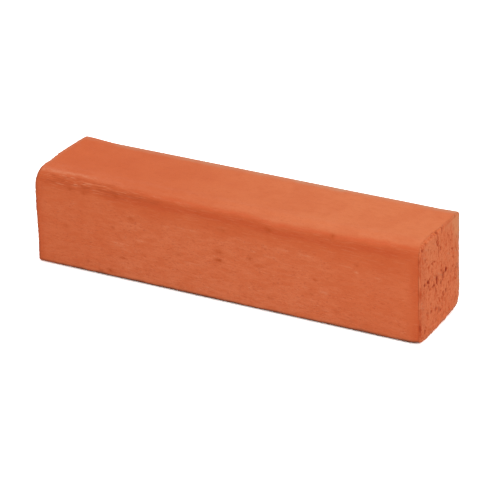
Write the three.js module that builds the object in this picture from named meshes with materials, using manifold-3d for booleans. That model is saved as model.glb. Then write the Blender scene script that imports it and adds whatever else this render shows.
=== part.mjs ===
// Square-section solid clay facing brick, 220 x 50 x 52 mm, with no frog and no perforation.
//
// The clay leaves the die as one long column and a wire cuts it to length, so the brick is one solid:
//   - four smooth long faces. The top edge of the show face is a wide rolled arris whose width and
//     drop wander along the length. The edge opposite it, between the back and the bed, is rolled
//     too, and the other two long edges have tight arrises.
//   - two wire-cut ends, the left one square and the right one a little skewed, each with a softened
//     rim, open drag voids where the wire pulled grains out, and chips along the rim.
//
// Millimetres, +X along the length, -Y out of the show face, +Z up.
// The origin is the centre of the brick's plan, on the bed face that it lies on.

import * as THREE from "three";
import { mergeVertices } from "three/addons/utils/BufferGeometryUtils.js";
import Module from "manifold-3d";

// Overall sizes, over the longest corners
const LENGTH = 220;
const DEPTH = 50;
const HEIGHT = 52;

// Rolled arris between the top and the show face: how far it runs back over the top, and how far
// it drops down the face
const ROLL_RUN = 8.8;
const ROLL_DROP = 9;
// How the roll wanders from end to end, at even steps along the length: [run, drop] added to it
const ROLL_WANDER = [
  [1.8, 0],
  [0.2, -0.8],
  [-0.8, -1.6],
  [-0.4, -1.2],
  [-0.8, 1.0],
  [-1.0, 0.6],
  [0.4, 0.4],
  [2.4, 0],
];

// Rolled arris between the back and the bed: how far it runs under the bed, and how far it climbs
// the back
const BED_ROLL_RUN = 12;
const BED_ROLL_RISE = 8;

// Radii of the other two long arrises
const BACK_TOP_RADIUS = 3;
const FACE_BED_RADIUS = 1.2;

// The wire cuts: degrees out of square in plan and out of plumb in height. A cut recedes from the
// corner where the show face meets the bed, so neither angle is negative.
const LEFT_CUT = { plan: 0, lean: 0 };
const RIGHT_CUT = { plan: 2.7, lean: 1.4 };
// Rounding of the rim of each end
const RIM_RADIUS = 1.4;

// No long arris is left sharper than this where the rim cuts into it
const LEAST_RADIUS = 0.4;

// Fineness of the lofted skin
const ARRIS_SEGMENTS = 8;
const RIM_SEGMENTS = 3;
const STATION_SPACING = 6;
// Facets that stand out of a flat face by less than this are merged into it
const SLIVER = 0.01;

// Drag voids: [across, up, width, height, depth, lean]. across and up are shares of the end's width
// and height, from the show face and from the bed; the sizes are in mm, and lean is in degrees.
const RIGHT_VOIDS = [
  [0.21, 0.57, 3.2, 2.2, 1.7, 0],
  [0.12, 0.575, 2.6, 1.4, 1.2, -25],
  [0.42, 0.51, 2.4, 4.6, 2.2, -5],
  [0.35, 0.48, 3.6, 1.4, 1.3, -18],
  [0.636, 0.53, 1.9, 2.2, 1.9, 0],
  [0.58, 0.5, 2.6, 3.2, 1.0, -10],
  [0.445, 0.875, 2.4, 3.2, 1.4, -5],
  [0.08, 0.935, 2.8, 1.5, 1.2, -25],
  [0.645, 0.32, 2.0, 1.8, 1.3, -20],
  [0.585, 0.305, 2.0, 3.4, 1.1, 25],
  [0.54, 0.415, 1.8, 3.2, 1.0, 15],
  [0.395, 0.22, 2.4, 2.6, 1.2, 0],
];
const LEFT_VOIDS = [
  [0.24, 0.34, 2.4, 3.8, 1.8, 14],
  [0.33, 0.3, 2.8, 1.5, 1.2, -25],
  [0.55, 0.62, 2.2, 4.4, 2.1, 18],
  [0.47, 0.66, 1.8, 2.2, 1.1, 8],
  [0.78, 0.44, 2.4, 3.0, 1.6, 22],
  [0.7, 0.8, 2.0, 3.2, 1.2, 10],
  [0.18, 0.75, 2.2, 2.6, 1.3, 20],
  [0.85, 0.22, 2.8, 1.8, 1.0, -16],
  [0.5, 0.16, 2.0, 2.8, 1.3, 12],
  [0.38, 0.48, 1.6, 2.4, 0.9, 16],
];

// Chips out of the rim, as the voids are given but centred on the edge of the end
const RIGHT_CHIPS = [
  [0.13, 1, 3.4, 1.6, 1.3, 0],
  [0.34, 1, 2.6, 1.8, 1.2, 0],
  [0.43, 1, 3.0, 2.4, 1.5, 0],
  [0, 0.17, 1.4, 4.2, 1.1, 0],
  [0.55, 0, 4.4, 1.6, 1.2, 0],
];
const LEFT_CHIPS = [
  [0.3, 0, 4.0, 1.6, 1.2, 0],
  [0.68, 1, 3.0, 1.6, 1.1, 0],
  [1, 0.4, 1.5, 4.6, 1.2, 0],
];

const { EllipseCurve, MathUtils, SplineCurve, Vector2 } = THREE;
const QUARTER = Math.PI / 2;

// The roll's run and drop as one smooth curve from the left end to the right end
const rollAlong = new SplineCurve(
  ROLL_WANDER.map(([run, drop]) => new Vector2(ROLL_RUN + run, ROLL_DROP + drop)),
);

// Outline of the brick's section at a share of its length, drawn inwards by inset. It is a closed
// ring of [y, z] points, anticlockwise as seen from +X: one quarter ellipse for each long arris.
function sectionRing(share, inset) {
  const roll = rollAlong.getPoint(share);
  const face = -DEPTH / 2 + inset;
  const back = DEPTH / 2 - inset;
  const bed = inset;
  const top = HEIGHT - inset;
  const arris = (y, z, run, drop, from) => {
    const towardsBack = y > 0 ? -1 : 1;
    const towardsTop = z > HEIGHT / 2 ? -1 : 1;
    const a = Math.max(run - inset, LEAST_RADIUS);
    const b = Math.max(drop - inset, LEAST_RADIUS);
    return new EllipseCurve(y + towardsBack * a, z + towardsTop * b, a, b, from, from + QUARTER);
  };
  return [
    arris(back, bed, BED_ROLL_RUN, BED_ROLL_RISE, -QUARTER),
    arris(back, top, BACK_TOP_RADIUS, BACK_TOP_RADIUS, 0),
    arris(face, top, roll.x, roll.y, QUARTER),
    arris(face, bed, FACE_BED_RADIUS, FACE_BED_RADIUS, 2 * QUARTER),
  ].flatMap((curve) => curve.getPoints(ARRIS_SEGMENTS).map((p) => [p.x, p.y]));
}

// How far a cut end stands back from the brick's longest corner at a point of the section. The
// corner where the show face meets the bed is the longest.
function cutRecess({ plan, lean }, y, z) {
  return Math.tan(MathUtils.degToRad(plan)) * (y + DEPTH / 2) + Math.tan(MathUtils.degToRad(lean)) * z;
}

const leftEnd = (y, z) => -LENGTH / 2 + cutRecess(LEFT_CUT, y, z);
const rightEnd = (y, z) => LENGTH / 2 - cutRecess(RIGHT_CUT, y, z);

// Stations of the loft as [share of the length, inset]: a rounded rim at each end, even steps between
function loftStations() {
  const rim = Array.from({ length: RIM_SEGMENTS }, (_, i) => {
    const angle = (i / RIM_SEGMENTS) * QUARTER;
    return [(RIM_RADIUS * (1 - Math.cos(angle))) / LENGTH, RIM_RADIUS * (1 - Math.sin(angle))];
  });
  const start = RIM_RADIUS / LENGTH;
  const steps = Math.round(LENGTH / STATION_SPACING);
  const middle = Array.from({ length: steps + 1 }, (_, i) => [start + (i / steps) * (1 - 2 * start), 0]);
  const farRim = rim.map(([share, inset]) => [1 - share, inset]).reverse();
  return [...rim, ...middle, ...farRim];
}

// The column of clay between its two cuts: the section's rings joined along the length
function clayColumn() {
  const rings = loftStations().map(([share, inset]) =>
    sectionRing(share, inset).map(([y, z]) => [MathUtils.lerp(leftEnd(y, z), rightEnd(y, z), share), y, z]),
  );
  const around = rings[0].length;
  const index = [];
  for (let ring = 0; ring + 1 < rings.length; ring++) {
    for (let i = 0; i < around; i++) {
      const next = (i + 1) % around;
      const [a, b] = [ring * around + i, ring * around + next];
      index.push(a, b, a + around, b, b + around, a + around);
    }
  }
  const outline = rings[0].map(([, y, z]) => new Vector2(y, z));
  const last = (rings.length - 1) * around;
  for (const [a, b, c] of THREE.ShapeUtils.triangulateShape(outline, [])) {
    index.push(c, b, a);
    index.push(last + a, last + b, last + c);
  }
  const geometry = new THREE.BufferGeometry();
  geometry.setAttribute("position", new THREE.Float32BufferAttribute(rings.flat(2), 3));
  return geometry.setIndex(index);
}

// The lens-shaped bite that one void or chip takes out of an end
function biteGeometry(endAt, [across, up, width, height, depth, lean]) {
  const y = (across - 0.5) * DEPTH;
  const z = up * HEIGHT;
  return new THREE.IcosahedronGeometry(1, 1)
    .scale(depth, width / 2, height / 2)
    .rotateX(MathUtils.degToRad(lean))
    .translate(endAt(y, z), y, z);
}

const wasm = await Module();
wasm.setup();

function toSolid(geometry) {
  const bare = geometry.clone();
  bare.deleteAttribute("normal");
  bare.deleteAttribute("uv");
  const merged = mergeVertices(bare);
  return new wasm.Manifold(
    new wasm.Mesh({
      numProp: 3,
      vertProperties: merged.attributes.position.array,
      triVerts: new Uint32Array(merged.index.array),
    }),
  );
}

function toGeometry(solid) {
  const mesh = solid.getMesh();
  const geometry = new THREE.BufferGeometry();
  geometry.setAttribute("position", new THREE.BufferAttribute(mesh.vertProperties, 3));
  geometry.setIndex(new THREE.BufferAttribute(mesh.triVerts, 1));
  geometry.computeVertexNormals();
  return geometry;
}

const bites = [
  ...[...LEFT_VOIDS, ...LEFT_CHIPS].map((row) => biteGeometry(leftEnd, row)),
  ...[...RIGHT_VOIDS, ...RIGHT_CHIPS].map((row) => biteGeometry(rightEnd, row)),
];
const brickSolid = bites
  .reduce((solid, bite) => solid.subtract(toSolid(bite)), toSolid(clayColumn()))
  .simplify(SLIVER);

const firedClay = new THREE.MeshStandardMaterial({ color: 0xcc6940, roughness: 0.88, metalness: 0 });
const brick = new THREE.Mesh(toGeometry(brickSolid), firedClay);
brick.name = "brick";

const part = new THREE.Group();
part.add(brick);
export default part;
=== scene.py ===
"""Fired clay brick: the skin, wire-cut ends and finish of a slim square-section facing brick.

Blender 4.5. Shapes are worked out in millimetres in the part's own frame (+X along the length, -Y
out of the show face, +Z up, origin on the bed face) and put into the mesh in metres.
"""

import math
from itertools import product
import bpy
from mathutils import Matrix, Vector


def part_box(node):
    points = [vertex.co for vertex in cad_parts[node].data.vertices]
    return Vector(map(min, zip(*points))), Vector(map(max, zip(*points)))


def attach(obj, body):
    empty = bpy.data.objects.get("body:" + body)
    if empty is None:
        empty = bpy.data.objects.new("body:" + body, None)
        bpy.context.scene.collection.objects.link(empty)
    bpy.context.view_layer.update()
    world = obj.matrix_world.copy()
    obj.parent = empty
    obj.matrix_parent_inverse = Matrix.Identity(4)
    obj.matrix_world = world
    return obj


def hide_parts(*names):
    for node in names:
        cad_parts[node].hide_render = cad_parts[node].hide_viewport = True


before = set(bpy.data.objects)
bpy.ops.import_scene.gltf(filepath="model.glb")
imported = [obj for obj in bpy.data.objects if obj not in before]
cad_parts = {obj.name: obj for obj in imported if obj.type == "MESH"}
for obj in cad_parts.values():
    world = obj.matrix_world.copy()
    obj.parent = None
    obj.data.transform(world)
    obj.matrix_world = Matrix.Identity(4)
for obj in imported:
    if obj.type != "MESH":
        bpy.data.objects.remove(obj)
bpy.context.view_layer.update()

from types import SimpleNamespace

import bpy
import numpy as np
from mathutils import Matrix, Vector

MM = 0.001

# ----------------------------------------------------------------------
# Driving sizes, in mm: the part's own values, apart from the two tight arrises and the rims of the
# cuts, which are as wear has left them

LOW, HIGH = (np.array(corner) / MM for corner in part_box("brick"))
LENGTH = 220.0
DEPTH = HIGH[1] - LOW[1]
HEIGHT = HIGH[2] - LOW[2]

# The wide rolled arris above the show face: how far it runs over the top and drops down the face, at
# even steps from the left cut to the right one
ROLL_RUN = [10.6, 9.0, 8.0, 8.4, 8.0, 7.8, 9.2, 11.2]
ROLL_DROP = [9.0, 8.2, 7.4, 7.8, 10.0, 9.6, 9.4, 9.0]
ROLL = np.column_stack([ROLL_RUN, ROLL_DROP])
# The other long arrises: [run along the bed or the top, height on the face or the back]
BED_ROLL = [12.0, 8.0]
BACK_TOP = [2.6, 2.6]
FACE_BED = [2.4, 1.3]
# No arris gets sharper than this towards the cuts
LEAST_RADIUS = 0.4
# Rounding of the rim of each cut before wear
SHARP_RIM = 0.5

# The wire cuts: slope out of square in plan, and out of plumb in height
RIGHT_PLAN = math.tan(math.radians(2.7))
RIGHT_LEAN = math.tan(math.radians(1.4))

# Drag voids of an end: across from the show face and up from the bed, as shares; width, height and
# depth in mm; the lean in degrees; and how dark the painted shade inside is, from 0 to 1
RIGHT_VOIDS = [
    [0.21, 0.57, 3.2, 2.2, 1.7, 0, 0.88],
    [0.12, 0.575, 2.6, 1.4, 1.2, -25, 0.8],
    [0.42, 0.51, 2.4, 4.6, 2.2, -5, 0.75],
    [0.35, 0.48, 3.6, 1.4, 1.3, -18, 0.45],
    [0.636, 0.53, 1.9, 2.2, 1.9, 0, 1.0],
    [0.58, 0.5, 2.6, 3.2, 1.0, -10, 0.5],
    [0.445, 0.875, 2.4, 3.2, 1.4, -5, 0.3],
    [0.08, 0.935, 2.8, 1.5, 1.2, -25, 0.6],
    [0.645, 0.32, 2.0, 1.8, 1.3, -20, 0.65],
    [0.585, 0.305, 2.0, 3.4, 1.1, 25, 0.45],
    [0.54, 0.415, 1.8, 3.2, 1.0, 15, 0.4],
    [0.395, 0.22, 2.4, 2.6, 1.2, 0, 0.5],
]
LEFT_VOIDS = [
    [0.24, 0.34, 2.4, 3.8, 1.8, 14, 0.8],
    [0.33, 0.3, 2.8, 1.5, 1.2, -25, 0.6],
    [0.55, 0.62, 2.2, 4.4, 2.1, 18, 0.9],
    [0.47, 0.66, 1.8, 2.2, 1.1, 8, 0.6],
    [0.78, 0.44, 2.4, 3.0, 1.6, 22, 0.7],
    [0.7, 0.8, 2.0, 3.2, 1.2, 10, 0.6],
    [0.18, 0.75, 2.2, 2.6, 1.3, 20, 0.6],
    [0.85, 0.22, 2.8, 1.8, 1.0, -16, 0.5],
    [0.5, 0.16, 2.0, 2.8, 1.3, 12, 0.6],
    [0.38, 0.48, 1.6, 2.4, 0.9, 16, 0.5],
]
# Smaller pits and slits of the right end
RIGHT_PITS = [
    [0.202, 0.529, 1.4, 3.0, 0.7, -5, 0.75],
    [0.13, 0.625, 1.8, 0.8, 0.7, -20, 0.35],
    [0.442, 0.493, 1.5, 5.0, 1.4, -4, 0.78],
    [0.372, 0.472, 1.6, 1.2, 0.8, 0, 0.55],
    [0.31, 0.478, 1.6, 1.0, 0.7, -20, 0.4],
    [0.3, 0.55, 1.4, 1.0, 0.7, -15, 0.35],
    [0.655, 0.53, 1.8, 2.4, 1.3, 0, 1.0],
    [0.226, 0.567, 2.0, 2.6, 1.3, 0, 1.0],
    [0.602, 0.49, 1.3, 3.6, 0.8, -15, 0.55],
    [0.645, 0.57, 1.0, 2.2, 0.7, 0, 0.5],
    [0.275, 0.243, 2.0, 1.5, 0.9, -20, 0.5],
    [0.47, 0.3, 1.2, 2.0, 0.7, 10, 0.3],
    [0.112, 0.096, 1.4, 2.6, 0.8, 5, 0.75],
    [0.4, 0.1, 1.4, 1.6, 0.8, 0, 0.4],
    [0.555, 0.21, 2.2, 1.1, 0.8, -10, 0.3],
    [0.36, 0.72, 2.6, 0.8, 0.7, -12, 0.4],
    [0.29, 0.725, 1.8, 0.7, 0.6, -12, 0.3],
    [0.8, 0.69, 3.6, 0.9, 0.6, -15, 0.35],
    [0.735, 0.7, 1.4, 0.8, 0.6, -15, 0.3],
    [0.52, 0.66, 1.5, 0.8, 0.7, -10, 0.35],
    [0.18, 0.76, 1.6, 0.9, 0.7, -20, 0.3],
    [0.22, 0.89, 1.4, 1.0, 0.7, -20, 0.35],
    [0.41, 0.91, 0.9, 2.6, 0.7, 8, 0.4],
    [0.88, 0.46, 2.0, 1.6, 0.8, 0, 0.35],
    [0.91, 0.77, 1.4, 1.6, 0.8, 0, 0.35],
    [0.87, 0.98, 1.6, 1.8, 0.8, 0, 0.35],
    [0.72, 0.36, 1.2, 3.0, 0.6, 6, 0.2],
    [0.47, 0.845, 1.3, 1.6, 1.0, 0, 0.5],
    [0.455, 0.92, 1.2, 2.6, 0.7, 0, 0.35],
    [0.445, 0.975, 1.3, 4.6, 1.0, 0, 0.4],
    [0.31, 0.99, 1.5, 1.6, 0.8, -20, 0.35],
    [0.375, 0.985, 1.5, 1.3, 0.7, -20, 0.35],
    [0.165, 0.975, 1.3, 3.2, 0.9, -25, 0.4],
    [0.545, 0.43, 1.1, 3.4, 0.6, 0, 0.45],
]
# Chips out of the rim of an end, given as the voids are
RIGHT_CHIPS = [
    [0.13, 1, 3.4, 1.6, 1.3, 0, 0.3],
    [0.34, 1, 2.6, 1.8, 1.2, 0, 0.3],
    [0.43, 1, 3.0, 2.4, 1.5, 0, 0.3],
    [0, 0.17, 1.4, 4.2, 1.1, 0, 0.5],
    [0.55, 0, 4.4, 1.6, 1.2, 0, 0.3],
]
LEFT_CHIPS = [
    [0.3, 0, 4.0, 1.6, 1.2, 0, 0.3],
    [0.68, 1, 3.0, 1.6, 1.1, 0, 0.3],
    [1, 0.4, 1.5, 4.6, 1.2, 0, 0.3],
]
# Small pits strewn over each end: how many, and their seed
RIGHT_SMALL_PITS = (170, 5)
LEFT_SMALL_PITS = (180, 6)
# How much the outline of a bite wanders, as a share of its reach
RIGHT_BITE_NOISE = 0.55
LEFT_BITE_NOISE = 0.935

# ----------------------------------------------------------------------
# Wear, in mm. Places on the long faces are [x, girth], where girth runs round the section from the
# lower front arris: the show face to about 43, the roll to 57, the top to 96, its back arris to 100
# and the back to 141. Below 0 it runs under the bed, which ends at about -37 in the bed roll.

# Rounding that wear has given the rim of each cut end: [girth, radius]. The wire tore the lower
# edge of the right end, and a ragged lip is broken off beside its roll.
RIGHT_RIM = [
    [-46, 1.3],
    [-41, 3.0],
    [-36, 3.8],
    [-29, 2.4],
    [-18, 1.7],
    [-8, 1.7],
    [-2, 1.3],
    [3, 0.8],
    [43, 0.7],
    [48, 1.5],
    [54, 2.4],
    [68, 2.0],
    [74, 0.7],
    [94, 0.5],
    [102, 1.4],
    [134, 1.6],
    [140, 1.0],
    [147, 1.3],
]
LEFT_RIM = [
    [-46, 2.2],
    [50, 2.2],
    [58, 2.8],
    [66, 2.2],
    [147, 2.2],
]
# How much the rounding varies along the rim, as a share of it
RIGHT_RIM_NOISE = 0.28
LEFT_RIM_NOISE = 0.12
# How far in the middle of the rounding lies, as a share of its radius
RIM_MIDDLE = 0.53
# Worn corners: the corner's [x, y, z], how far the wear reaches, and how much it takes off
WORN_CORNERS = [
    [[110, -25, 0], 3.4, 0.75],
    [[-111, 25, 53], 3.0, 0.35],
]
# Lips that the wire dragged up along the top of each end
RIGHT_LIP = 0.35
LEFT_LIP = 1.05
# How far each end stands out past a flat cut where it is fullest
RIGHT_FULLNESS = 0.3
LEFT_FULLNESS = 0.95

# Height of the relief on the cut ends
GROOVE_HEIGHT = 0.12
CRUMB_HEIGHT = 0.14
TORN_CRUMB_HEIGHT = 0.45
SWELL_HEIGHT = 0.15
# Height of the relief on the long faces
WAVE_HEIGHT = 0.12
DRAG_HEIGHT = 0.02
RUBBED_DRAG_HEIGHT = 0.08
TORN_HEIGHT = 0.3
HOLLOW_DEPTH = 0.32

# Top of the field on the show face that is rubbed dusty: [x, height]
RUB_TOP = [
    [-110, 43.5],
    [-68, 43],
    [-60, 37],
    [-50, 38.5],
    [-40, 34.5],
    [-26, 37],
    [-5, 36],
    [20, 37],
    [42, 37.5],
    [55, 35.5],
    [66, 32.5],
    [80, 35],
    [110, 34],
]
# Line along the roll where the pale skin of the top begins: [x, girth]
TOP_LINE = [
    [-110, 51.4],
    [-80, 51.2],
    [-60, 50.5],
    [-30, 50.4],
    [-8, 50.4],
    [12, 50.5],
    [30, 49.2],
    [60, 49.8],
    [85, 50.8],
    [110, 51.6],
]
# Pale scuffs left by handling: [x from, x to, girth, width, strength]
SCUFFS = [
    [-108, -92, 52.0, 2.0, 0.6],
    [-94, -76, 52.6, 1.8, 0.65],
    [-97, -87, 50.2, 0.7, 0.55],
    [-93, -88, 49.0, 0.5, 0.5],
    [-84, -80, 48.1, 0.5, 0.7],
    [-81, -75, 48.5, 0.5, 0.9],
    [-75, -68, 49.0, 0.5, 0.8],
    [-90, -83, 46.7, 0.9, 0.65],
    [-101, -98, 43.2, 0.6, 0.4],
    [-66, -63, 47.8, 0.4, 0.5],
    [-62, -59, 46.9, 0.5, 0.6],
    [-57, -51, 46.6, 0.5, 0.6],
    [-58, -50, 48.8, 0.6, 0.35],
    [-42, -36, 49.3, 0.7, 0.5],
    [-27, -20, 48.8, 0.8, 0.5],
    [-64, -57, 19.8, 0.6, 0.75],
    [-62, -58, 18.6, 0.5, 0.4],
    [-50, -45, 23.8, 0.8, 0.8],
    [-34, -30, 34.8, 0.6, 0.5],
    [-26, -12, 35.4, 0.6, 0.4],
    [-22, -13, 17.4, 0.7, 0.55],
    [18, 30, 49.6, 1.0, 0.25],
    [30, 38, 35.4, 0.7, 0.4],
    [24, 31, 30.2, 0.7, 0.4],
    [44, 49, 35.0, 0.9, 0.5],
    [64, 73, 33.6, 0.7, 0.5],
    [74.2, 75.4, 31.4, 1.9, 1.0],
    [85, 89, 31.0, 0.8, 0.35],
    [55, 60, 17.2, 1.2, 0.5],
    [59, 64, 18.4, 0.6, 0.4],
    [83, 88, 12.4, 0.7, 0.4],
    [5, 8, 16.5, 1.6, 0.3],
]
# Streaks of brown kiln grime under the left of the roll, given as the scuffs are
STREAKS = [
    [-104, -88, 49.4, 1.0, 0.35],
    [-86, -64, 49.7, 0.8, 0.5],
    [-104, -88, 46.2, 1.5, 0.85],
    [-85, -69, 46.7, 1.5, 0.8],
    [-93, -86, 44.6, 1.3, 0.5],
    [-84, -77, 44.2, 2.0, 0.55],
    [-76, -66, 45.3, 1.9, 0.7],
    [-68, -50, 46.7, 1.7, 0.95],
    [-66, -56, 44.8, 1.4, 0.75],
    [-60, -42, 48.0, 0.9, 0.5],
    [-53, -36, 46.3, 2.2, 0.9],
]
# Dark iron spots: [x, girth, width, height, strength]
SPOTS = [
    [-2, 26.8, 4.2, 2.6, 0.6],
    [-2, 22.4, 4.4, 1.6, 0.9],
    [-58.5, 12, 3.6, 1.4, 0.9],
    [-66, 3.6, 3.4, 1.8, 0.8],
    [-89, 44, 2.4, 2.0, 0.6],
    [-81, 43.4, 3.4, 2.4, 0.5],
    [-62, 45.2, 3.0, 2.0, 0.6],
    [-92, 23.4, 3.6, 2.6, 0.4],
    [-79.5, 6, 2.6, 1.6, 0.5],
    [-72, 3, 2.4, 1.6, 0.5],
    [-64, 28, 2.2, 1.6, 0.5],
    [-53, 34.6, 4.0, 2.4, 0.4],
    [-25, 20.8, 3.8, 2.2, 0.5],
    [-25.5, 3.6, 3.0, 1.8, 0.5],
    [-14, 45.6, 3.4, 2.4, 0.3],
    [0, 39, 4.4, 2.2, 0.4],
    [16, 26.6, 3.0, 2.4, 0.5],
    [20.5, 24, 3.0, 1.8, 0.5],
    [27, 7.8, 3.4, 1.8, 0.5],
    [26, 44.4, 4.0, 3.2, 0.6],
    [52, 23, 1.8, 1.4, 0.7],
    [50, 14.6, 2.6, 1.6, 0.4],
    [61, 48.2, 3.0, 2.6, 0.7],
    [75, 35.6, 2.4, 1.6, 0.5],
    [64, 8.6, 3.4, 1.6, 0.4],
]

# ----------------------------------------------------------------------
# Fineness of the mesh

SIDE_STEPS = 116  # around each quarter of the section, from the middle of one arris to the next
HALF_ARC_STEPS = {"bed_roll": 12, "back_top": 6, "roll": 12, "face_bed": 3}
RIM_STEPS = 6
LENGTH_STEPS = 141
END_CROWDING = 0.38  # 0 spaces the stations evenly; towards 0.5 they crowd at the ends
UNFOLDING_ROUNDS = 30  # how often faces that the wear folded over are eased


# ----------------------------------------------------------------------
# Noise


# Odd factors that scatter the lattice's three coordinates and the seed over 32 bits, and the shifts
# and factors that mix those bits
AXIS_FACTORS = np.array([374761393, 668265263, 2246822519], np.uint32)
SEED_FACTOR = 3266489917
MIXING = np.array([[13, 1274126177], [15, 2654435761]], np.uint32)
LAST_SHIFT = np.uint32(16)
# Each octave's lattice is shifted by this many cells, so that no two of them line up
OCTAVE_SHIFT = 19.7


def lattice_value(cell, seed):
    """A fixed random number from 0 to 1 for each lattice cell: an integer hash of its three
    coordinates and the seed."""
    mixed = (cell.astype(np.uint32) * AXIS_FACTORS).sum(axis=1, dtype=np.uint32)
    mixed = mixed + np.uint32(seed * SEED_FACTOR % 2**32)
    for shift, factor in MIXING:
        mixed = (mixed ^ (mixed >> shift)) * factor
    return (mixed ^ (mixed >> LAST_SHIFT)) / float(2**32 - 1)


def clay_noise(points, size, seed, octaves=3):
    """A smooth random field from about -1 to 1: lattice values blended by a quintic step, in cells
    of `size` mm along x, y and z, summed over octaves that each halve the cell and the height."""
    total = np.zeros(len(points))
    height = 1.0
    reach = 0.0
    for octave in range(octaves):
        place = points * 2.0**octave / np.broadcast_to(size, 3) + OCTAVE_SHIFT * octave
        cell = np.floor(place).astype(np.int64)
        t = place - cell
        t = t**3 * (t * (t * 6 - 15) + 10)
        value = np.zeros(len(points))
        for corner in product((0, 1), repeat=3):
            near = np.where(np.array(corner) == 1, t, 1 - t).prod(axis=1)
            value += near * lattice_value(cell + corner, seed + octave)
        total += height * (2 * value - 1)
        reach += height
        height *= 0.5
    return total / reach


def step(low, high, value):
    """0 below low, 1 above high and a smooth S between them; high may be the smaller number."""
    t = np.clip((value - low) / (high - low), 0, 1)
    return t * t * (3 - 2 * t)


# ----------------------------------------------------------------------
# The brick's clay column as a grid


def roll_at(share):
    """Run and drop of the roll at each share of the length: a Catmull-Rom spline through ROLL."""
    last = len(ROLL) - 1
    place = share * last
    at = np.minimum(np.floor(place).astype(int), last)
    t = (place - at)[:, None]
    before, here = ROLL[np.maximum(at - 1, 0)], ROLL[at]
    after, beyond = ROLL[np.minimum(at + 1, last)], ROLL[np.minimum(at + 2, last)]
    leave = (after - before) / 2
    arrive = (beyond - here) / 2
    cubic = 2 * here - 2 * after + leave + arrive
    square = -3 * here + 3 * after - 2 * leave - arrive
    return ((cubic * t + square) * t + leave) * t + here


def stations():
    """Share of the length and inset of each ring: a quarter-round rim at each end, and between them
    shares that follow (1 + c) v - c v^3 as v goes from -1 to 1, so that they crowd at the ends."""
    turn = np.arange(RIM_STEPS) / RIM_STEPS * math.pi / 2
    rim_share = SHARP_RIM * (1 - np.cos(turn)) / LENGTH
    rim_inset = SHARP_RIM * (1 - np.sin(turn))
    v = np.linspace(-1, 1, LENGTH_STEPS + 1)
    even = (1 + END_CROWDING) * v - END_CROWDING * v**3
    middle = 0.5 + even * (0.5 - SHARP_RIM / LENGTH)
    share = np.concatenate([rim_share, middle, 1 - rim_share[::-1]])
    inset = np.concatenate([rim_inset, 0 * middle, rim_inset[::-1]])
    return share, inset


def section_rings(share, inset):
    """The section's outline at every station, as [station, around, (y, z)]. Each arris is a quarter
    ellipse set into its corner of the section, which is drawn inwards by the inset. The outline has
    four sides of equal steps, each the second half of one arris, a straight, and the first half of
    the next. It starts in the middle of the bed roll and runs anticlockwise as seen from +X."""
    roll = roll_at(share)
    arrises = {
        "bed_roll": (1, -1, *np.broadcast_to(BED_ROLL, roll.shape).T),
        "back_top": (1, 1, *np.broadcast_to(BACK_TOP, roll.shape).T),
        "roll": (-1, 1, *roll.T),
        "face_bed": (-1, -1, *np.broadcast_to(FACE_BED, roll.shape).T),
    }
    halves = {}
    for quarter, (name, (side_y, side_z, run, drop)) in enumerate(arrises.items()):
        run = np.maximum(run - inset, LEAST_RADIUS)
        drop = np.maximum(drop - inset, LEAST_RADIUS)
        middle_y = side_y * (DEPTH / 2 - inset - run)
        middle_z = HEIGHT / 2 + side_z * (HEIGHT / 2 - inset - drop)
        steps = HALF_ARC_STEPS[name]
        turn = (quarter - 1) * math.pi / 2 + np.linspace(0, math.pi / 2, 2 * steps + 1)
        y = middle_y[:, None] + run[:, None] * np.cos(turn)
        z = middle_z[:, None] + drop[:, None] * np.sin(turn)
        arc = np.stack([y, z], axis=-1)
        halves[name] = (arc[:, : steps + 1], arc[:, steps:])
    names = list(arrises)
    sides = []
    for name, following in zip(names, names[1:] + names[:1]):
        leaving = halves[name][1]
        arriving = halves[following][0]
        count = SIDE_STEPS - HALF_ARC_STEPS[name] - HALF_ARC_STEPS[following]
        t = (np.arange(1, count) / count)[None, :, None]
        straight = leaving[:, -1:] * (1 - t) + arriving[:, :1] * t
        sides.append(np.concatenate([leaving, straight, arriving[:, :-1]], axis=1))
    return np.concatenate(sides, axis=1)


def left_end(y, z):
    """x of the left cut, which is square and so the same everywhere."""
    return np.full_like(y + z, -LENGTH / 2)


def right_end(y, z):
    """x of the right cut, which falls back from its lower front corner in plan and in height."""
    return LENGTH / 2 - RIGHT_PLAN * (y + DEPTH / 2) - RIGHT_LEAN * z


def end_sheet(ring):
    """[y, z] over an end, on a grid whose four edges are the ring's four sides: a Coons patch, the
    two straight blends between facing edges less the blend of the four corners."""
    n = SIDE_STEPS
    back, top = ring[: n + 1], ring[n : 2 * n + 1]
    face = ring[2 * n : 3 * n + 1][::-1]
    bed = np.concatenate([ring[3 * n :], ring[:1]])[::-1]
    s = np.linspace(0, 1, n + 1)[:, None, None]
    t = np.linspace(0, 1, n + 1)[None, :, None]
    across = (1 - t) * back[:, None] + t * face[:, None]
    upward = (1 - s) * bed[None] + s * top[None]
    corners = (1 - s) * ((1 - t) * bed[0] + t * bed[-1]) + s * ((1 - t) * top[0] + t * top[-1])
    return across + upward - corners


def sheet_ids(first_ring, first_inner):
    """Vertex numbers over an end's grid: its edge is the ring's own vertices, so that no seam is
    left, and the inside is numbered on from first_inner."""
    n = SIDE_STEPS
    ring = first_ring + np.arange(4 * n)
    ids = np.empty((n + 1, n + 1), int)
    ids[:, 0] = ring[: n + 1]
    ids[:, n] = ring[2 * n : 3 * n + 1][::-1]
    ids[0, 1:n] = ring[3 * n + 1 :][::-1]
    ids[n, 1:n] = ring[n + 1 : 2 * n]
    ids[1:n, 1:n] = first_inner + np.arange((n - 1) ** 2).reshape(n - 1, n - 1)
    return ids


def quads(ids):
    """Four-cornered faces over a grid of vertex numbers, turned from its rows to its columns."""
    corners = [ids[:-1, :-1], ids[1:, :-1], ids[1:, 1:], ids[:-1, 1:]]
    return np.stack(corners, axis=-1).reshape(-1, 4)


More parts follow.
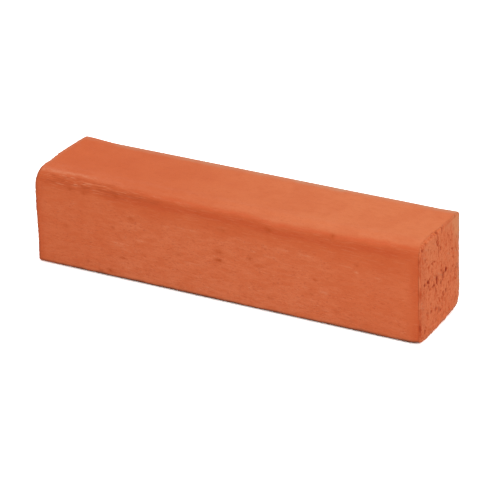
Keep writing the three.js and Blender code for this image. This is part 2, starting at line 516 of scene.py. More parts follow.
def nearest_on_ring(sheet, ring):
    """For each point of an end, which point of its ring is nearest, and how far away that is."""
    gap = np.hypot(*(sheet[:, None] - ring[None]).transpose(2, 0, 1))
    nearest = gap.argmin(axis=1)
    return nearest, gap[np.arange(len(sheet)), nearest]


def clay_column():
    """The undamaged column, as its faces and, for each point, its place, girth, depth and the way
    inwards. A ring's x runs from the left cut to the right cut by its share of the length. Girth is
    the length of the outline from the middle of the lower front arris, up the face, over the top and
    down the back, and is below 0 under the bed. Depth is how far the point is under the long faces.
    The way inwards is the outline's normal at the nearest long face, in y and z."""
    share, inset = stations()
    rings = section_rings(share, inset)
    y, z = rings[..., 0], rings[..., 1]
    x = left_end(y, z) * (1 - share[:, None]) + right_end(y, z) * share[:, None]
    long_faces = np.stack([x, y, z], axis=-1).reshape(-1, 3)
    walk = np.linalg.norm(rings - np.roll(rings, 1, axis=1), axis=-1)
    walk[:, 0] = 0
    walk = np.cumsum(walk, axis=1)
    girth = walk[:, 3 * SIDE_STEPS, None] - walk
    along = np.roll(rings, -1, axis=1) - np.roll(rings, 1, axis=1)
    inward = np.stack([-along[..., 1], along[..., 0]], axis=-1)
    inward /= np.linalg.norm(inward, axis=-1, keepdims=True)

    places = [long_faces]
    girths = [girth.reshape(-1)]
    depths = [np.repeat(inset, rings.shape[1])]
    inwards = [inward.reshape(-1, 2)]
    for at, end in ((0, left_end), (-1, right_end)):
        sheet = end_sheet(rings[at])[1:-1, 1:-1].reshape(-1, 2)
        nearest, gap = nearest_on_ring(sheet, rings[at])
        places.append(np.column_stack([end(*sheet.T), sheet]))
        girths.append(girth[at][nearest])
        depths.append(gap + SHARP_RIM)
        inwards.append(inward[at][nearest])

    ids = np.arange(len(long_faces)).reshape(rings.shape[:2])
    wrapped = np.concatenate([ids, ids[:, :1]], axis=1)
    left = sheet_ids(ids[0, 0], len(long_faces))
    right = sheet_ids(ids[-1, 0], len(long_faces) + len(places[1]))
    faces = np.concatenate([quads(wrapped.T), quads(left.T), quads(right)])
    return faces, *(np.concatenate(part) for part in (places, girths, depths, inwards))


def facing(points, faces):
    """The way each face looks, as the cross product of its diagonals."""
    corner = points[faces]
    return np.cross(corner[:, 2] - corner[:, 0], corner[:, 3] - corner[:, 1])


def sum_at_corners(vectors, faces):
    """One vector for each face, added up at the points that are its corners."""
    at = faces.reshape(-1)
    return np.column_stack([np.bincount(at, np.repeat(part, 4)) for part in vectors.T])


def outward(points, faces):
    """Unit normal at each point: the sum of the ways that its faces look."""
    total = sum_at_corners(facing(points, faces), faces)
    return total / np.linalg.norm(total, axis=1)[:, None]


def unfolded(points, faces, way_out):
    """The points with no face folded over: while a face looks against the way out of the bare
    column, its corners move to the mean of the middles of the faces round them."""
    shared = np.bincount(faces.reshape(-1))[:, None]
    for _ in range(UNFOLDING_ROUNDS):
        turned = (facing(points, faces) * way_out[faces].sum(axis=1)).sum(axis=1) <= 0
        eased = sum_at_corners(points[faces].mean(axis=1), faces) / shared
        at = np.unique(faces[turned])
        points[at] = eased[at]
    return points


# ----------------------------------------------------------------------
# How wear is worked out


def bell(value, centre, half_width):
    """1 at the centre, falling off as exp of minus the square of the distance in half widths."""
    return np.exp(-(((value - centre) / half_width) ** 2))


def read_off(table, at):
    """The second column of a table at each value of its first, on straight lines between rows."""
    return np.interp(at, *np.array(table, float).T)


def drawn_along(table, x, girth):
    """Strength of the strongest streak of the table at each point: a bell across its width, with
    soft ends."""
    strongest = np.zeros_like(x)
    for start, stop, place, width, strength in table:
        stretch = step(start - 1, start + 1, x) * step(stop + 1, stop - 1, x)
        strongest = np.maximum(strongest, strength * stretch * bell(girth, place, width / 2))
    return strongest


def dotted(table, x, girth):
    """Strength of the strongest spot of the table at each point: a bell across and along it."""
    strongest = np.zeros_like(x)
    for along, around, width, height, strength in table:
        spot = bell(x, along, width / 2) * bell(girth, around, height / 2)
        strongest = np.maximum(strongest, strength * spot)
    return strongest


def small_pits(count, seed):
    """Seeded rows for `bites`: many small pits and few larger ones, most of them taller than wide
    and leaning a little, as the wire drags them."""
    random = np.random.default_rng(seed)
    size = 0.75 + 1.3 * random.random(count) ** 3
    stretch = 1 + 0.9 * random.random(count)
    return np.column_stack(
        [
            random.uniform(0.03, 0.97, count),
            random.uniform(0.03, 0.97, count),
            size,
            size * stretch,
            0.3 + 0.3 * size,
            random.uniform(-30, 30, count),
            0.1 + 0.15 * size,
        ]
    ).tolist()


def bites(points, end, table, ragged):
    """How deep the deepest bite of the table goes at each point, in mm, and how dark the painted
    shade in it is there, from 0 to 1. Each bite is an ellipsoid centred on the end: with r the
    distance from its centre in half widths, swollen here and there by the ragged noise, the depth is
    (1 - r^2)^0.6 of the stated one. The painted shade fades out just past its edge."""
    deepest = np.zeros(len(points))
    darkest = np.zeros(len(points))
    for across, up, width, height, depth, lean, darkness in table:
        y = (across - 0.5) * DEPTH
        z = up * HEIGHT
        off = points - np.array([end(y, z), y, z])
        turn = math.radians(lean)
        wide = off[:, 1] * math.cos(turn) + off[:, 2] * math.sin(turn)
        tall = off[:, 2] * math.cos(turn) - off[:, 1] * math.sin(turn)
        reach = (wide / (width / 2)) ** 2 + (tall / (height / 2)) ** 2 + (off[:, 0] / depth) ** 2
        reach = reach * (1 + ragged)
        deepest = np.maximum(deepest, depth * np.clip(1 - reach, 0, 1) ** 0.6)
        darkest = np.maximum(darkest, darkness * step(1.2, 0.65, reach))
    return deepest, darkest


def worn_corner(points, corner, reach, wear):
    """Wear that draws a corner in by the same amount along x, y and z: most at the corner itself,
    and less around it as a bell of the distance."""
    distance = np.linalg.norm(points - np.array(corner), axis=1)
    way_in = np.sign(np.array([0, 0, HEIGHT / 2]) - corner)
    return wear * bell(distance, 0, reach)[:, None] * way_in


# ----------------------------------------------------------------------
# The worn rims, and where each point of the column is

faces, points, girth, depth, inward = clay_column()
normals = outward(points, faces)
x, y, z = points.T
from_left = x - left_end(y, z)
from_right = right_end(y, z) - x
from_end = np.minimum(from_left, from_right)
nearer_right = from_right < from_left

# A point in the corner between a cut and a long face that lies outside the rounding there moves
# straight towards the rounding's middle, until it is on it
rim_radius = np.where(nearer_right, read_off(RIGHT_RIM, girth), read_off(LEFT_RIM, girth))
rim_noise = np.where(nearer_right, RIGHT_RIM_NOISE, LEFT_RIM_NOISE)
rim_radius += rim_noise * rim_radius * clay_noise(points, 3.2, seed=121)
to_middle = np.maximum(rim_radius - from_end, 0)
under = np.maximum(rim_radius - depth, 0)
reach = np.hypot(to_middle, under)
pull = np.maximum(reach - rim_radius, 0)
shift = pull / np.maximum(reach, rim_radius)
along_x = np.where(nearer_right, -1, 1) * to_middle * shift
points = points + np.column_stack([along_x, inward * (under * shift)[:, None]])

# 1 on the face named, falling to 0 round the arris that ends it
cut = step(0.85, 0.6, from_end / rim_radius)
long_face = 1 - cut
on_show = step(0.3, 0.8, -normals[:, 1]) * long_face
on_back = step(0.6, 0.95, normals[:, 1]) * long_face
on_bed = step(0.6, 0.95, -normals[:, 2]) * long_face
right_cut = cut * step(2, 0, from_right)

# ----------------------------------------------------------------------
# Marks: how much of each colour or kind of wear there is at each point, from 0 to 1

# Clay laid bare where the wire tore the rims, most of all along the lip beside the roll
lip = step(46, 50, girth) * step(76, 71, girth) * step(1, 0, from_right / rim_radius)
broken = cut * step(0.08, 0.3, pull) * (0.12 + 0.88 * lip)
broken = np.maximum(broken, 0.5 * right_cut * step(16, 6, z))

# The pale skin of the top begins at a line along the roll, and gets paler towards the right
begins = read_off(TOP_LINE, x) + 1.2 * clay_noise(points, (7, 3, 3), seed=83)
top_skin = step(begins - 1.7, begins + 1.3, girth) * step(102, 99, girth) * long_face
# A painted highlight along the shoulder of the roll, just above that line, stronger towards the left
# where the arris is also worn pale
shoulder = bell(girth, begins + 1.6, 2.0) * (0.6 + 0.35 * step(-30, -85, x))
shoulder = np.maximum(shoulder, 0.42 * bell(girth, begins + 4.5, 3.0)) * long_face
# The crest of the roll below that line is a brighter red
crest = step(begins - 3.4, begins - 1.4, girth) * step(begins + 2.0, begins, girth)
crest = crest * (0.15 + 0.85 * step(-64, -36, x)) * (1 - 0.6 * step(92, 106, x)) * long_face
bloom = step(-100, 70, x + 26 * clay_noise(points, (34, 20, 20), seed=101))

# Deep red skin under the roll and along both ends of the show face; under the roll the red is darker
# still, as painted shade
fade = step(2.6, 0, np.abs(girth - begins + 5.4) - 0.6)
drift = clay_noise(points, (22, 5, 5), seed=85, octaves=2)
deep = fade * (0.75 + 0.3 * bell(x, -30, 22) + 0.45 * drift)
deep = deep * (0.4 + 0.6 * step(-70, -44, x)) * (1 - 0.5 * step(94, 106, x))
left_reach = 4.5 * bell(girth, 21, 9) - 2 * clay_noise(points, (4, 9, 9), seed=87, octaves=2)
right_reach = -3 * clay_noise(points, (4, 9, 9), seed=89, octaves=2)
left_strip = step(6.5, 1.5, from_left - left_reach)
right_strip = step(6.0, 1.5, from_right - right_reach)
strips = 0.75 * left_strip + 0.35 * right_strip
deep = np.maximum(deep, strips * on_show * step(49, 40, girth)) * long_face

# The dusty rubbed field of the show face, and looser patches of the same on the back and the bed
edge_line = read_off(RUB_TOP, x)
ragged_z = z + 2.6 * clay_noise(points, (9, 4, 4), seed=81)
field = 0.62 * step(edge_line + 2.2, edge_line - 2.2, ragged_z) + 0.38 * step(45.5, 31, ragged_z)
field = field * step(1.0, 5.5, from_left) * step(2.5, 9.0, from_right)
# Towards the foot the field is stronger, a paler tone that is partly painted bounce light from the
# floor
field = field * (0.66 + 0.34 * step(-78, -50, x) * step(76, 52, x)) * (0.8 + 0.2 * step(20, 2, z))
patches = step(-0.15, 0.45, clay_noise(points, (38, 14, 14), seed=91))
rubbed = on_show * field + on_back * (0.15 + 0.55 * patches) + on_bed * (0.4 + 0.5 * patches)

# Brown kiln grime under the left of the roll, and the fine threads that it is frayed into there
mottled = clay_noise(points, (4, 1.2, 1.2), seed=105)
grime = drawn_along(STREAKS, x, girth) * (0.55 + 0.45 * step(-0.3, 0.3, mottled)) * long_face
frayed = step(-38, -60, x) * step(108, 104, np.abs(x)) * bell(girth, 47.6, 3.2) * long_face

# Pale dust rubbed into the arrises that the brick is handled by: the back's upper one, the outer
# rim of the right end and the top rim of the left end
beyond_rim = depth - RIM_MIDDLE * rim_radius
lower_rim = step(1.5, 0.5, beyond_rim) * step(0, -3, girth)
outer_rim = np.maximum(step(3.0, 1.5, beyond_rim) * step(92, 100, girth), 0.8 * lower_rim)
outer_rim = outer_rim * step(1.2, 0.3, from_right)
top_rim = step(4.2, 1.4, from_left) * step(2.0, 0.5, depth)
top_rim = top_rim * step(50, 60, girth) * step(100, 94, girth)
back_arris = bell(girth, 95.2, 2.4) * (0.5 + 0.4 * step(-90, 60, x)) * long_face
patchy = 0.45 + 0.75 * step(-0.5, 0.35, clay_noise(points, (7, 3.4, 3.4), seed=107))
dusted = patchy * np.maximum(back_arris, np.maximum(0.8 * outer_rim, 0.45 * top_rim))

# Painted contact shade along the foot of the brick and, thinner, painted dark lines on the rims of
# both ends
left_rim = step(2.6, 0.6, from_left) * step(2.0, 0.5, depth) * step(60, 48, girth)
foot = step(2.7, 0.8, z + 0.5 * clay_noise(points, (6, 4, 4), seed=93, octaves=2)) ** 1.8
foot = foot * step(-2.4, -0.6, girth) * step(6, 3, girth) * long_face
foot = foot * (0.55 + 0.45 * step(-108, -80, x))
foot = np.maximum(foot, (0.06 + 0.14 * lower_rim) * outer_rim * patchy)
foot = np.maximum(foot, 0.42 * left_rim * patchy)

# Scuffs, broken up along their length, and iron spots
worn_through = step(-0.45, 0.1, clay_noise(points, (2.6, 0.7, 0.7), seed=95))
scuffed = drawn_along(SCUFFS, x, girth) * worn_through * long_face
spotted = dotted(SPOTS, x, girth) * long_face

# Bites out of the ends, and the painted shade inside them
right_bites = RIGHT_VOIDS + RIGHT_PITS + RIGHT_CHIPS + small_pits(*RIGHT_SMALL_PITS)
left_bites = LEFT_VOIDS + LEFT_CHIPS + small_pits(*LEFT_SMALL_PITS)
ragged = clay_noise(points, 1.3, seed=11, octaves=2)
bitten, void = np.maximum(
    bites(points, right_end, right_bites, RIGHT_BITE_NOISE * ragged),
    bites(points, left_end, left_bites, LEFT_BITE_NOISE * ragged),
)
# The strip of the right cut beside the show face gets a little of the same painted shade, so it is
# darker and redder than the rest
void = np.maximum(void, 0.11 * right_cut * step(-15, -21, y))

# A thin dark line of painted shade under the burr that the wire folded over the front edge of the
# right end, and a fainter one along the edge of the top
thick = np.maximum(bell(z, 9, 6.5), np.maximum(bell(z, 27, 3), bell(z, 44.5, 2.6)))
thick = np.maximum(0.5 * step(-0.2, 0.4, clay_noise(points, (9, 9, 2.6), seed=97)), thick)
burr = step(1, 4, girth) * step(50, 44, girth) * thick
burr = burr + 0.35 * step(74, 78, girth) * step(98, 94, girth)
burr = burr * bell(depth, 0.6, 0.8) * step(1.8, 0.6, from_right)

# Clay that the wire smeared dull on the right end: in its upper back corner, along its back and top
# edges, and beside the roll
dulled = 1.3 * bell(y, 20.5, 4.5) * bell(z, 48, 8.5) + 0.3 * bell(y, 21.5, 3.5)
dulled += 0.45 * bell(z, 50.5, 2.5) * step(4, 10, y) + 0.3 * bell(y, -11, 7) * bell(z, 46.5, 7)
dulled = dulled * (0.8 + 0.4 * clay_noise(points, 5, seed=103, octaves=2)) * right_cut

# ----------------------------------------------------------------------
# Relief, lips and worn corners

# The cut ends: upright wire grooves, crumbs and a slow swell
grooves = clay_noise(points, (14, 0.9, 16), seed=21, octaves=2)
crumbs = clay_noise(points, 1.1, seed=31, octaves=2)
swell = clay_noise(points, (14, 11, 11), seed=41, octaves=2)
relief = GROOVE_HEIGHT * grooves + (CRUMB_HEIGHT + TORN_CRUMB_HEIGHT * broken) * crumbs
relief = cut * (relief + SWELL_HEIGHT * swell)
# The long faces: slow waves, and the drag lines of the die, rougher where they are rubbed
waves = clay_noise(points, (70, 24, 24), seed=61, octaves=2)
drawn = clay_noise(points, (12, 0.8, 0.8), seed=51)
line_height = DRAG_HEIGHT + RUBBED_DRAG_HEIGHT * rubbed
relief += long_face * (WAVE_HEIGHT * waves + line_height * drawn)
# The show face is a little hollow just under the roll, and torn along it at the left
roll_drop = roll_at(np.clip(x / LENGTH + 0.5, 0, 1))[:, 1]
relief -= HOLLOW_DEPTH * bell(z, HEIGHT - roll_drop - 0.4, 3.4) * on_show
torn = clay_noise(points, (13, 1.1, 1.1), seed=111)
relief += TORN_HEIGHT * torn * bell(girth, 47.5, 3.5) * step(-35, -75, x) * long_face
relief -= bitten

lift = np.zeros_like(points)
# Lips that the wire dragged up: along the left end's top edge, and at the right end's back corner
lift[:, 2] += LEFT_LIP * step(22, 0, from_left) * step(-14, 5, y) * step(30, 50, z)
lift[:, 2] += RIGHT_LIP * step(12, 0, from_right) * step(12, 24, y) * step(30, 50, z)
# The right end stands a little fuller towards the back, and the left one along the show face
lift[:, 0] += RIGHT_FULLNESS * step(6, 0.5, from_right) * step(0, 20, y) * step(6, 14, z)
lift[:, 0] -= LEFT_FULLNESS * bell(z, 33, 19) * step(-12, -22, y) * step(8, 0, from_left)
for worn in WORN_CORNERS:
    lift += worn_corner(points, *worn)

points = points + normals * relief[:, None] + lift
points[:, 2] = np.maximum(points[:, 2], 0.0)
points = unfolded(points, faces, normals)


def make_piece(name, points, faces, marks):
    """A mesh piece from points in mm and faces, with one number for each point in each mark."""
    mesh = bpy.data.meshes.new(name)
    mesh.from_pydata((points * MM).tolist(), [], faces.tolist())
    for mark, values in marks.items():
        layer = mesh.attributes.new(mark, "FLOAT", "POINT")
        layer.data.foreach_set("value", np.clip(values, 0, 1).astype(np.float32))
    mesh.shade_smooth()
    mesh.update()
    piece = bpy.data.objects.new(name, mesh)
    bpy.context.scene.collection.objects.link(piece)
    return piece


MARKS = {
    "cut": cut,
    "broken": broken,
    "rubbed": rubbed,
    "top_skin": top_skin,
    "bloom": bloom,
    "deep": deep,
    "shoulder": shoulder,
    "crest": crest,
    "grime": grime,
    "foot": foot,
    "scuffed": scuffed,
    "spotted": spotted,
    "void": void,
    "dulled": dulled,
    "dusted": dusted,
    "frayed": frayed,
    "burr": burr,
}
brick = make_piece("fired_brick", points, faces, MARKS)


# ----------------------------------------------------------------------
# Fired clay

# Colours of the clay, linear
SKIN = (0.609, 0.125, 0.041)
SKIN_DARK = (0.59, 0.114, 0.036)
# The deep red skin, darker under the roll as painted shade
DEEP_RED_AND_SHADE = (0.552, 0.091, 0.028)
TOP_PALE = (0.656, 0.141, 0.047)
TOP_PALEST = (0.708, 0.194, 0.073)
# The painted highlight on the shoulder of the roll, worn paler at the left
SHOULDER_HIGHLIGHT_AND_WEAR = (0.711, 0.212, 0.114)
ROLL_RED = (0.684, 0.133, 0.047)
DUSTY = (0.722, 0.194, 0.081)
DUSTY_DARK = (0.685, 0.168, 0.0635)
CUT_CLAY = (0.712, 0.2, 0.083)
CUT_RED = (0.587, 0.112, 0.035)
DULL_CLAY = (0.675, 0.25, 0.112)
BROKEN_CLAY = (0.691, 0.166, 0.058)
BROKEN_PALE = (0.77, 0.21, 0.1)
SCRATCH = (0.766, 0.281, 0.146)
IRON = (0.426, 0.064, 0.01)
GRIME = (0.426, 0.076, 0.024)
# The colour of the painted contact shade at the foot
FOOT_SHADE = (0.176, 0.066, 0.036)
EDGE_DUST = (0.59, 0.28, 0.165)
# PIT_RED is the dark red of painted shade in the voids, chips and nicks; the fine grit uses it too
PIT_RED = (0.25, 0.008, 0.001)
# The colour of the painted shade under the burr of the right end
BURR_SHADE = (0.46, 0.045, 0.006)

# Grains of the clay: [cell size along x, y and z in mm, detail, roughness]
GRAINS = {
    "mottle": [16, 4, 0.55],
    "cloud": [(5, 3, 3), 4, 0.6],
    "drag": [(4.2, 0.8, 0.8), 4, 0.65],
    "wisp": [(7, 2.2, 2.2), 4, 0.6],
    "patch": [(12, 6, 6), 2, 0.55],
    "hair": [(3.2, 0.36, 0.36), 2, 0.55],
    "thread": [(7, 0.5, 0.5), 3, 0.6],
    "dash": [(1.7, 0.68, 0.68), 3, 0.6],
    "wire": [(4, 0.5, 8), 4, 0.6],
    "crumb": [1.3, 4, 0.6],
    "fleck": [1.5, 2, 0.55],
    "grit": [0.5, 3, 0.65],
}

SKIN_ROUGHNESS = 0.65
RUBBED_ROUGHNESS = 0.85
CUT_ROUGHNESS = 0.92
SHEEN = 0.05
# How far the grit, the drag lines and the grain of the cuts stand out, in mm
GRIT_HEIGHT = 0.14
SCORE_HEIGHT = 0.24
CUT_TONE_HEIGHT = 0.7


class Finish:
    """A node tree with short calls for what the clay's finish is made of. Its marks are the numbers
    that the mesh holds for each point, and its grains are noise."""

    def __init__(self, name, marks, grains):
        self.material = bpy.data.materials.new(name)
        self.material.use_nodes = True
        self.tree = self.material.node_tree
        self.shader = self.tree.nodes["Principled BSDF"]
        self.place = self.tree.nodes.new("ShaderNodeTexCoord").outputs["Object"]
        self.mark = SimpleNamespace(**{mark: self.add_mark(mark) for mark in marks})
        self.grain = SimpleNamespace(**{key: self.add_grain(*row) for key, row in grains.items()})

    def feed(self, socket, value):
        """Links a socket's output, or sets a constant, on an input."""
        if isinstance(value, bpy.types.NodeSocket):
            self.tree.links.new(value, socket)
        else:
            socket.default_value = value

    def add_mark(self, name):
        node = self.tree.nodes.new("ShaderNodeAttribute")
        node.attribute_name = name
        return node.outputs["Fac"]

    def add_grain(self, size, detail, roughness):
        """Noise in cells of `size` mm along x, y and z."""
        mapping = self.tree.nodes.new("ShaderNodeMapping")
        mapping.inputs["Scale"].default_value = [1 / (s * MM) for s in np.broadcast_to(size, 3)]
        self.feed(mapping.inputs["Vector"], self.place)
        noise = self.tree.nodes.new("ShaderNodeTexNoise")
        self.feed(noise.inputs["Vector"], mapping.outputs["Vector"])
        noise.inputs["Scale"].default_value = 1.0
        noise.inputs["Detail"].default_value = detail
        noise.inputs["Roughness"].default_value = roughness
        return noise.outputs["Fac"]

    def math(self, operation, a, b):
        node = self.tree.nodes.new("ShaderNodeMath")
        node.operation = operation
        self.feed(node.inputs[0], a)
        self.feed(node.inputs[1], b)
        return node.outputs[0]

    def times(self, a, b):
        return self.math("MULTIPLY", a, b)

    def plus(self, a, b):
        return self.math("ADD", a, b)

    def greater(self, a, b):
        return self.math("MAXIMUM", a, b)

    def between(self, value, low, high, start=0.0, stop=1.0):
        """start where the value is low, stop where it is high, and a smooth S between."""
        node = self.tree.nodes.new("ShaderNodeMapRange")
        node.interpolation_type = "SMOOTHSTEP"
        self.feed(node.inputs["Value"], value)
        node.inputs["From Min"].default_value = low
        node.inputs["From Max"].default_value = high
        node.inputs["To Min"].default_value = start
        node.inputs["To Max"].default_value = stop
        return node.outputs["Result"]

    def broken_up(self, amount, grain, low, high, start, stop):
        """The amount, times start where the grain is low and times stop where it is high."""
        return self.times(amount, self.between(grain, low, high, start, stop))

    def blend(self, factor, a, b):
        """Colour a where the factor is 0, and b where it is 1."""
        node = self.tree.nodes.new("ShaderNodeMix")
        node.data_type = "RGBA"
        self.feed(node.inputs["Factor"], factor)
        self.feed(node.inputs["A"], a if isinstance(a, bpy.types.NodeSocket) else (*a, 1))
        self.feed(node.inputs["B"], b if isinstance(b, bpy.types.NodeSocket) else (*b, 1))
        return node.outputs["Result"]

    def coated(self, colour, *coats):
        """The colour under its coats, laid on one after another: each is an amount and a colour."""
        for amount, coat in coats:
            colour = self.blend(amount, colour, coat)
        return colour

    def bump(self, height, distance, normal=None):
        """Height from 0 to 1 stands out by the distance in mm."""
        node = self.tree.nodes.new("ShaderNodeBump")
        node.inputs["Distance"].default_value = distance * MM
        self.feed(node.inputs["Height"], height)
        if normal:
            self.feed(node.inputs["Normal"], normal)
        return node.outputs["Normal"]


def skin_colour(clay):
    """The long faces: red, deepest under the roll, where it is partly painted shade, and at both
    ends, bright on the crest of the roll, pale over the top, with a painted highlight along its
    shoulder."""
    mark, grain = clay.mark, clay.grain
    top = clay.blend(mark.bloom, TOP_PALE, TOP_PALEST)
    return clay.coated(
        clay.blend(clay.between(grain.mottle, 0.35, 0.65), SKIN_DARK, SKIN),
        (clay.broken_up(mark.deep, grain.cloud, 0.25, 0.6, 1.0, 0.75), DEEP_RED_AND_SHADE),
        (clay.broken_up(mark.crest, grain.cloud, 0.3, 0.6, 0.5, 0.8), ROLL_RED),
        (clay.broken_up(mark.top_skin, grain.cloud, 0.25, 0.6, 0.78, 1.0), top),
        (clay.broken_up(mark.shoulder, grain.cloud, 0.3, 0.6, 0.25, 0.45), SHOULDER_HIGHLIGHT_AND_WEAR),
        (clay.broken_up(mark.top_skin, grain.mottle, 0.38, 0.62, 0.26, 0.0), SKIN_DARK),
    )


def rubbed_over(clay, skin):
    """Over the skin, the dusty rubbed field, paler near the foot also as painted bounce light from
    the floor, with its hairlines and nicks, a few fine lines beside it, and the scuffs."""
    mark, grain = clay.mark, clay.grain
    streaky = clay.plus(clay.times(grain.drag, 0.5), clay.times(grain.wisp, 0.5))
    dust = clay.blend(clay.between(streaky, 0.38, 0.62), DUSTY_DARK, DUSTY)
    hairline = clay.times(clay.between(grain.hair, 0.6, 0.7), clay.between(grain.patch, 0.42, 0.6))
    beside = clay.between(mark.rubbed, 0.0, 0.6, 0.16, 0.0)
    line = clay.times(clay.between(grain.thread, 0.52, 0.66), beside)
    nick = clay.broken_up(clay.between(grain.dash, 0.52, 0.68), grain.patch, 0.38, 0.6, 0.5, 1.0)
    scuff = clay.broken_up(mark.scuffed, grain.dash, 0.36, 0.52, 0.2, 1.0)
    return clay.coated(
        skin,
        (clay.broken_up(mark.rubbed, grain.wisp, 0.35, 0.6, 0.76, 1.0), dust),
        (clay.times(hairline, clay.times(mark.rubbed, 0.5)), SCRATCH),
        (clay.times(line, clay.between(mark.top_skin, 0.0, 0.6, 1.0, 0.0)), SCRATCH),
        (clay.times(nick, clay.between(mark.rubbed, 0.1, 0.8, 0.1, 0.22)), PIT_RED),
        (clay.times(scuff, 0.9), SCRATCH),
    )


def kiln_marked(clay, skin):
    """Over that, kiln grime, the dark and pale threads of the frayed roll, and iron: the spots, and
    fine flecks where the face is rubbed."""
    mark, grain = clay.mark, clay.grain
    soot = clay.broken_up(mark.grime, grain.drag, 0.35, 0.6, 1.0, 0.35)
    fleck = clay.times(clay.between(grain.fleck, 0.66, 0.8), clay.between(grain.patch, 0.4, 0.62))
    fleck = clay.times(fleck, clay.between(mark.rubbed, 0.0, 0.5, 0.0, 0.35))
    spot = clay.broken_up(mark.spotted, grain.crumb, 0.35, 0.6, 0.6, 1.1)
    return clay.coated(
        skin,
        (clay.times(soot, 0.8), GRIME),
        (clay.broken_up(mark.frayed, grain.thread, 0.36, 0.48, 0.8, 0.0), GRIME),
        (clay.broken_up(mark.frayed, grain.thread, 0.56, 0.68, 0.0, 0.5), SCRATCH),
        (clay.plus(fleck, spot), IRON),
    )


def cut_colour(clay, tone):
    """The cut ends: red in the grooves and paler on the ridges between, with smeared clay and the
    bright clay of the broken rims."""
    mark, grain = clay.mark, clay.grain
    fresh = clay.blend(clay.between(grain.fleck, 0.45, 0.68), BROKEN_CLAY, BROKEN_PALE)
    return clay.coated(
        clay.blend(clay.between(tone, 0.41, 0.53), CUT_RED, CUT_CLAY),
        (clay.times(mark.dulled, 0.85), DULL_CLAY),
        (clay.times(mark.broken, clay.between(grain.crumb, 0.35, 0.55)), fresh),
    )


def fired_clay():
    """Matt unglazed clay: the skin of the long faces, the cut ends, then the painted shade of the
    burr and of the voids, dust on the arrises, painted contact shade at the foot and fine grit over
    everything."""
    clay = Finish("fired_clay", MARKS, GRAINS)
    mark, grain = clay.mark, clay.grain
    tone = clay.plus(clay.times(grain.wire, 0.6), clay.times(grain.crumb, 0.4))
    rubbed_grit = clay.between(mark.rubbed, 0.0, 1.0, 0.06, 0.13)
    gritty = clay.greater(rubbed_grit, clay.times(mark.cut, 0.13))
    colour = clay.coated(
        kiln_marked(clay, rubbed_over(clay, skin_colour(clay))),
        (mark.cut, cut_colour(clay, tone)),
        (clay.times(mark.burr, 0.75), BURR_SHADE),
        (clay.times(mark.void, 0.95), PIT_RED),
        (clay.broken_up(mark.dusted, grain.cloud, 0.3, 0.6, 0.7, 1.0), EDGE_DUST),
        (mark.foot, FOOT_SHADE),
        (clay.broken_up(gritty, grain.grit, 0.35, 0.7, 1.0, 0.0), PIT_RED),
    )
    clay.feed(clay.shader.inputs["Base Color"], colour)

    skin_rough = clay.between(mark.rubbed, 0.0, 1.0, SKIN_ROUGHNESS, RUBBED_ROUGHNESS)
    cut_rough = clay.between(mark.cut, 0.0, 1.0, 0.0, CUT_ROUGHNESS)
    clay.feed(clay.shader.inputs["Roughness"], clay.greater(skin_rough, cut_rough))
    clay.shader.inputs["Specular IOR Level"].default_value = SHEEN

    score = clay.times(grain.drag, clay.between(mark.rubbed, 0.0, 1.0, 0.25, 1.0))
    score = clay.times(score, clay.between(mark.cut, 0.0, 1.0, 1.0, 0.0))
    bumps = clay.bump(grain.grit, GRIT_HEIGHT)
    bumps = clay.bump(score, SCORE_HEIGHT, bumps)
    bumps = clay.bump(clay.times(tone, mark.cut), CUT_TONE_HEIGHT, bumps)
    clay.feed(clay.shader.inputs["Normal"], bumps)
    return clay.material


brick.data.materials.append(fired_clay())
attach(brick, "root")
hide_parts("brick")


# ----------------------------------------------------------------------
# Floor, light and camera

# Sizes and distances here are in metres
FLOOR_SIZE = 8.0
# How bright the world is, and what share of its light the floor gives back: white to the camera, and
# less to the brick
WORLD_SEEN = 1.0
WORLD_LIT = 0.73
FLOOR_SEEN = 2.2
FLOOR_LIT = 0.8

# Softboxes: [name, azimuth and elevation in degrees, distance, size, power in watts]
SOFTBOXES = [
    ["overhead", 150, 70, 1.5, 0.9, 6.5],
    ["front_fill", 45, 12, 1.6, 0.9, 9],
]

CAMERA_AZIMUTH = math.radians(29.094)
CAMERA_ELEVATION = math.radians(23.821)
CAMERA_ROLL = math.radians(-0.589)
CAMERA_DISTANCE = 1.5025
CAMERA_AIM = Vector((2.768, -1.533, 19.917)) * MM
FOCAL_PIXELS = 2973.1
FRAME_PIXELS = 500
SENSOR_WIDTH = 36.0
FARTHEST_SEEN = 50.0


def seen_or_lit(tree, seen, lit):
    """One grey for the camera, mirrors and glass, and another for the light on the object."""
    path = tree.nodes.new("ShaderNodeLightPath")
    looked_at = path.outputs["Is Camera Ray"]
    for ray in ("Is Glossy Ray", "Is Transmission Ray"):
        either = tree.nodes.new("ShaderNodeMath")
        either.operation = "MAXIMUM"
        tree.links.new(looked_at, either.inputs[0])
        tree.links.new(path.outputs[ray], either.inputs[1])
        looked_at = either.outputs[0]
    mix = tree.nodes.new("ShaderNodeMix")
    mix.data_type = "RGBA"
    tree.links.new(looked_at, mix.inputs["Factor"])
    mix.inputs["A"].default_value = (lit, lit, lit, 1)
    mix.inputs["B"].default_value = (seen, seen, seen, 1)
    return mix.outputs["Result"]


def make_world():
    world = bpy.data.worlds.new("studio")
    world.use_nodes = True
    bpy.context.scene.world = world
    tree = world.node_tree
    grey = seen_or_lit(tree, WORLD_SEEN, WORLD_LIT)
    tree.links.new(grey, tree.nodes["Background"].inputs["Color"])


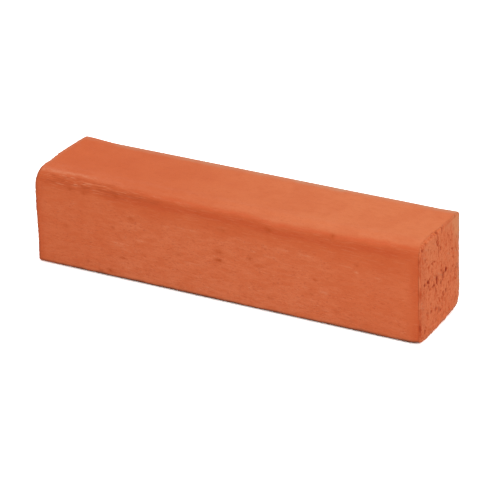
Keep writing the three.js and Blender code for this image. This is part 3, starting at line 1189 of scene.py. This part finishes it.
def make_floor():
    half = FLOOR_SIZE / 2
    mesh = bpy.data.meshes.new("floor")
    corners = [(-half, -half, 0), (half, -half, 0), (half, half, 0), (-half, half, 0)]
    mesh.from_pydata(corners, [], [(0, 1, 2, 3)])
    floor = bpy.data.objects.new("floor", mesh)
    bpy.context.scene.collection.objects.link(floor)
    material = bpy.data.materials.new("pale_floor")
    material.use_nodes = True
    tree = material.node_tree
    tree.nodes.remove(tree.nodes["Principled BSDF"])
    diffuse = tree.nodes.new("ShaderNodeBsdfDiffuse")
    tree.links.new(seen_or_lit(tree, FLOOR_SEEN, FLOOR_LIT), diffuse.inputs["Color"])
    tree.links.new(diffuse.outputs[0], tree.nodes["Material Output"].inputs["Surface"])
    mesh.materials.append(material)


def make_softbox(name, azimuth, elevation, distance, size, power):
    """A square softbox that faces the brick. Azimuth turns from the show face towards the right
    end."""
    turn = math.radians(azimuth)
    rise = math.radians(elevation)
    level = math.cos(rise)
    way = Vector((math.sin(turn) * level, -math.cos(turn) * level, math.sin(rise)))
    light = bpy.data.lights.new(name, "AREA")
    light.shape = "SQUARE"
    light.size = size
    light.energy = power
    lamp = bpy.data.objects.new(name, light)
    lamp.location = way * distance + Vector((0, 0, HEIGHT / 2 * MM))
    lamp.rotation_euler = (-way).to_track_quat("-Z", "Y").to_euler()
    bpy.context.scene.collection.objects.link(lamp)


def make_camera():
    """The camera looks at its aim point from the right of the show face and from above."""
    camera = bpy.data.cameras.new("camera")
    camera.sensor_width = SENSOR_WIDTH
    camera.lens = FOCAL_PIXELS / FRAME_PIXELS * SENSOR_WIDTH
    camera.clip_end = FARTHEST_SEEN
    viewer = bpy.data.objects.new("camera", camera)
    bpy.context.scene.collection.objects.link(viewer)
    turn = Matrix.Rotation(CAMERA_AZIMUTH, 3, "Z")
    tilt = Matrix.Rotation(math.pi / 2 - CAMERA_ELEVATION, 3, "X")
    roll = Matrix.Rotation(CAMERA_ROLL, 3, "Z")
    aimed = turn @ tilt @ roll
    stand = CAMERA_AIM + aimed.col[2] * CAMERA_DISTANCE
    viewer.matrix_world = Matrix.Translation(stand) @ aimed.to_4x4()
    bpy.context.scene.camera = viewer


make_world()
make_floor()
for softbox in SOFTBOXES:
    make_softbox(*softbox)
make_camera()
bpy.context.scene.view_settings.view_transform = "Standard"
